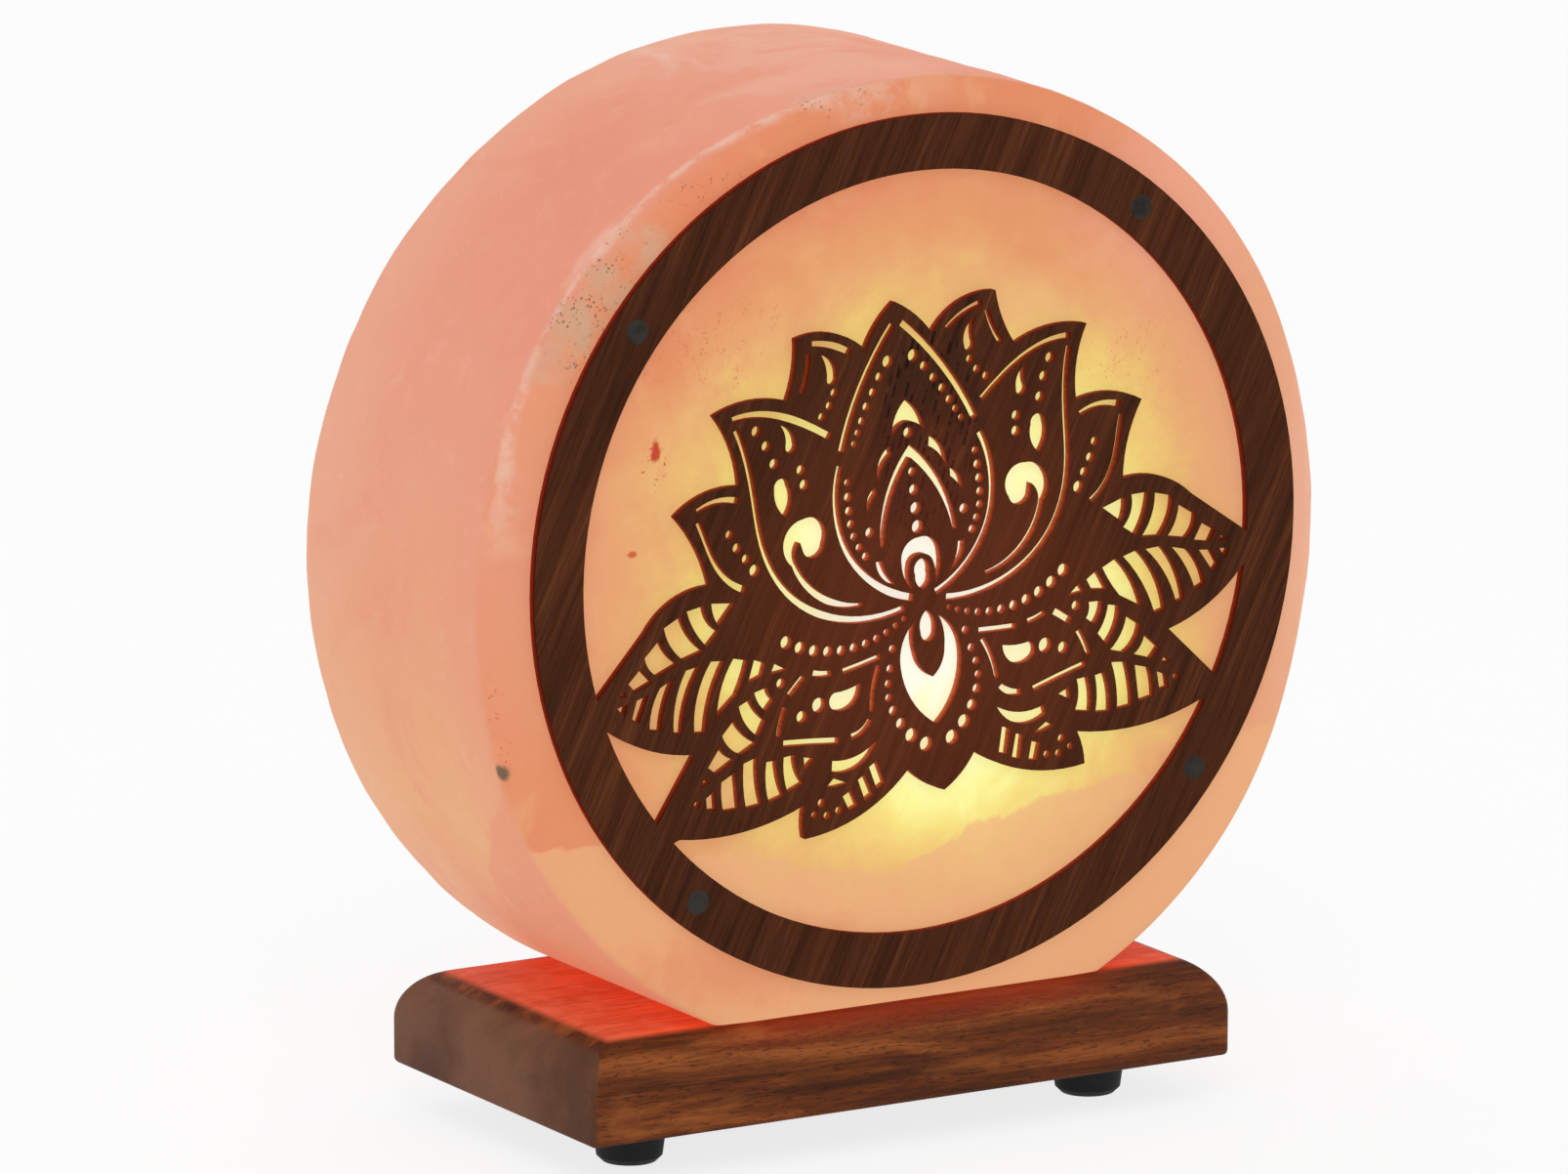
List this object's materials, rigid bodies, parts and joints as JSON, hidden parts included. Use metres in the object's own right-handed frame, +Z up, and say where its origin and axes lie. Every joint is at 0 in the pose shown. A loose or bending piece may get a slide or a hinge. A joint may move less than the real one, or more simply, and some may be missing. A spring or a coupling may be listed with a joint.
{
  "type": "salt crystal lamp",
  "caption": "Rock salt table lamp: a flat-bottomed upright drum of salt on a wooden foot board, its front covered by a thin wooden fretwork lotus in a ring, lit from inside by a tubular bulb.",
  "frame": {"origin": "on the table, under the middle of the salt drum and halfway between the foot board's front and rear edges", "axes": "+Z up, the lotus panel faces -Y, +X to the right seen from the front"},
  "size_m": [0.203, 0.0834, 0.221],
  "materials": {
    "rock_salt": "translucent, sanded, lit from inside",
    "base_wood": "oiled, satin",
    "panel_veneer": "dark open-grained veneer, matte",
    "black_rubber": "matte",
    "zinc_steel": "zinc plated",
    "black_steel": "blackened, satin",
    "grey_nylon": "matte",
    "black_plastic": "moulded, satin",
    "spring_steel": "bright strip",
    "white_ceramic": "unglazed",
    "brass": "bright",
    "bulb_clear_glass": "clear",
    "stem_glass": "clear",
    "nickel_shell": "nickel plated",
    "black_glaze": "black glass",
    "lead_wire": "drawn",
    "tungsten": "coiled wire, glowing"
  },
  "bodies": {
    "lamp": {"wood_base": "base_wood", "foot_front_left": "black_rubber", "foot_front_right": "black_rubber", "foot_rear_left": "black_rubber", "foot_rear_right": "black_rubber", "foot_washers": "zinc_steel", "foot_screws": "zinc_steel", "salt_drum": "rock_salt", "base_screws": "zinc_steel", "salt_plugs": "grey_nylon", "lotus_panel": "panel_veneer", "panel_screws": "black_steel"},
    "holder": {"socket_cap": "black_plastic", "socket_body": "black_plastic", "spring_clip_rear": "spring_steel", "spring_clip_front": "spring_steel", "clip_rivets": "spring_steel", "socket_insulator": "white_ceramic", "terminal_screws": "brass", "threaded_sleeve": "brass", "centre_contact": "brass", "side_contact": "brass"},
    "bulb": {"bulb_glass": "bulb_clear_glass", "bulb_cap": "nickel_shell", "bulb_cap_insulator": "black_glaze", "bulb_tip_contact": "brass", "bulb_stem": "stem_glass", "bulb_lead_wires": "lead_wire", "bulb_filament": "tungsten"}
  },
  "joints": [
    {"name": "holder_slide", "type": "slide", "parent": "lamp", "child": "holder", "axis": [0, 0, -1], "range_m": [0, 0.115]},
    {"name": "bulb_turn", "type": "hinge", "parent": "holder", "child": "bulb", "pos_m": [-0.0024, 0, 0.0418], "axis": [0, 0, 1], "range_deg": [0, 1350]}
  ]
}
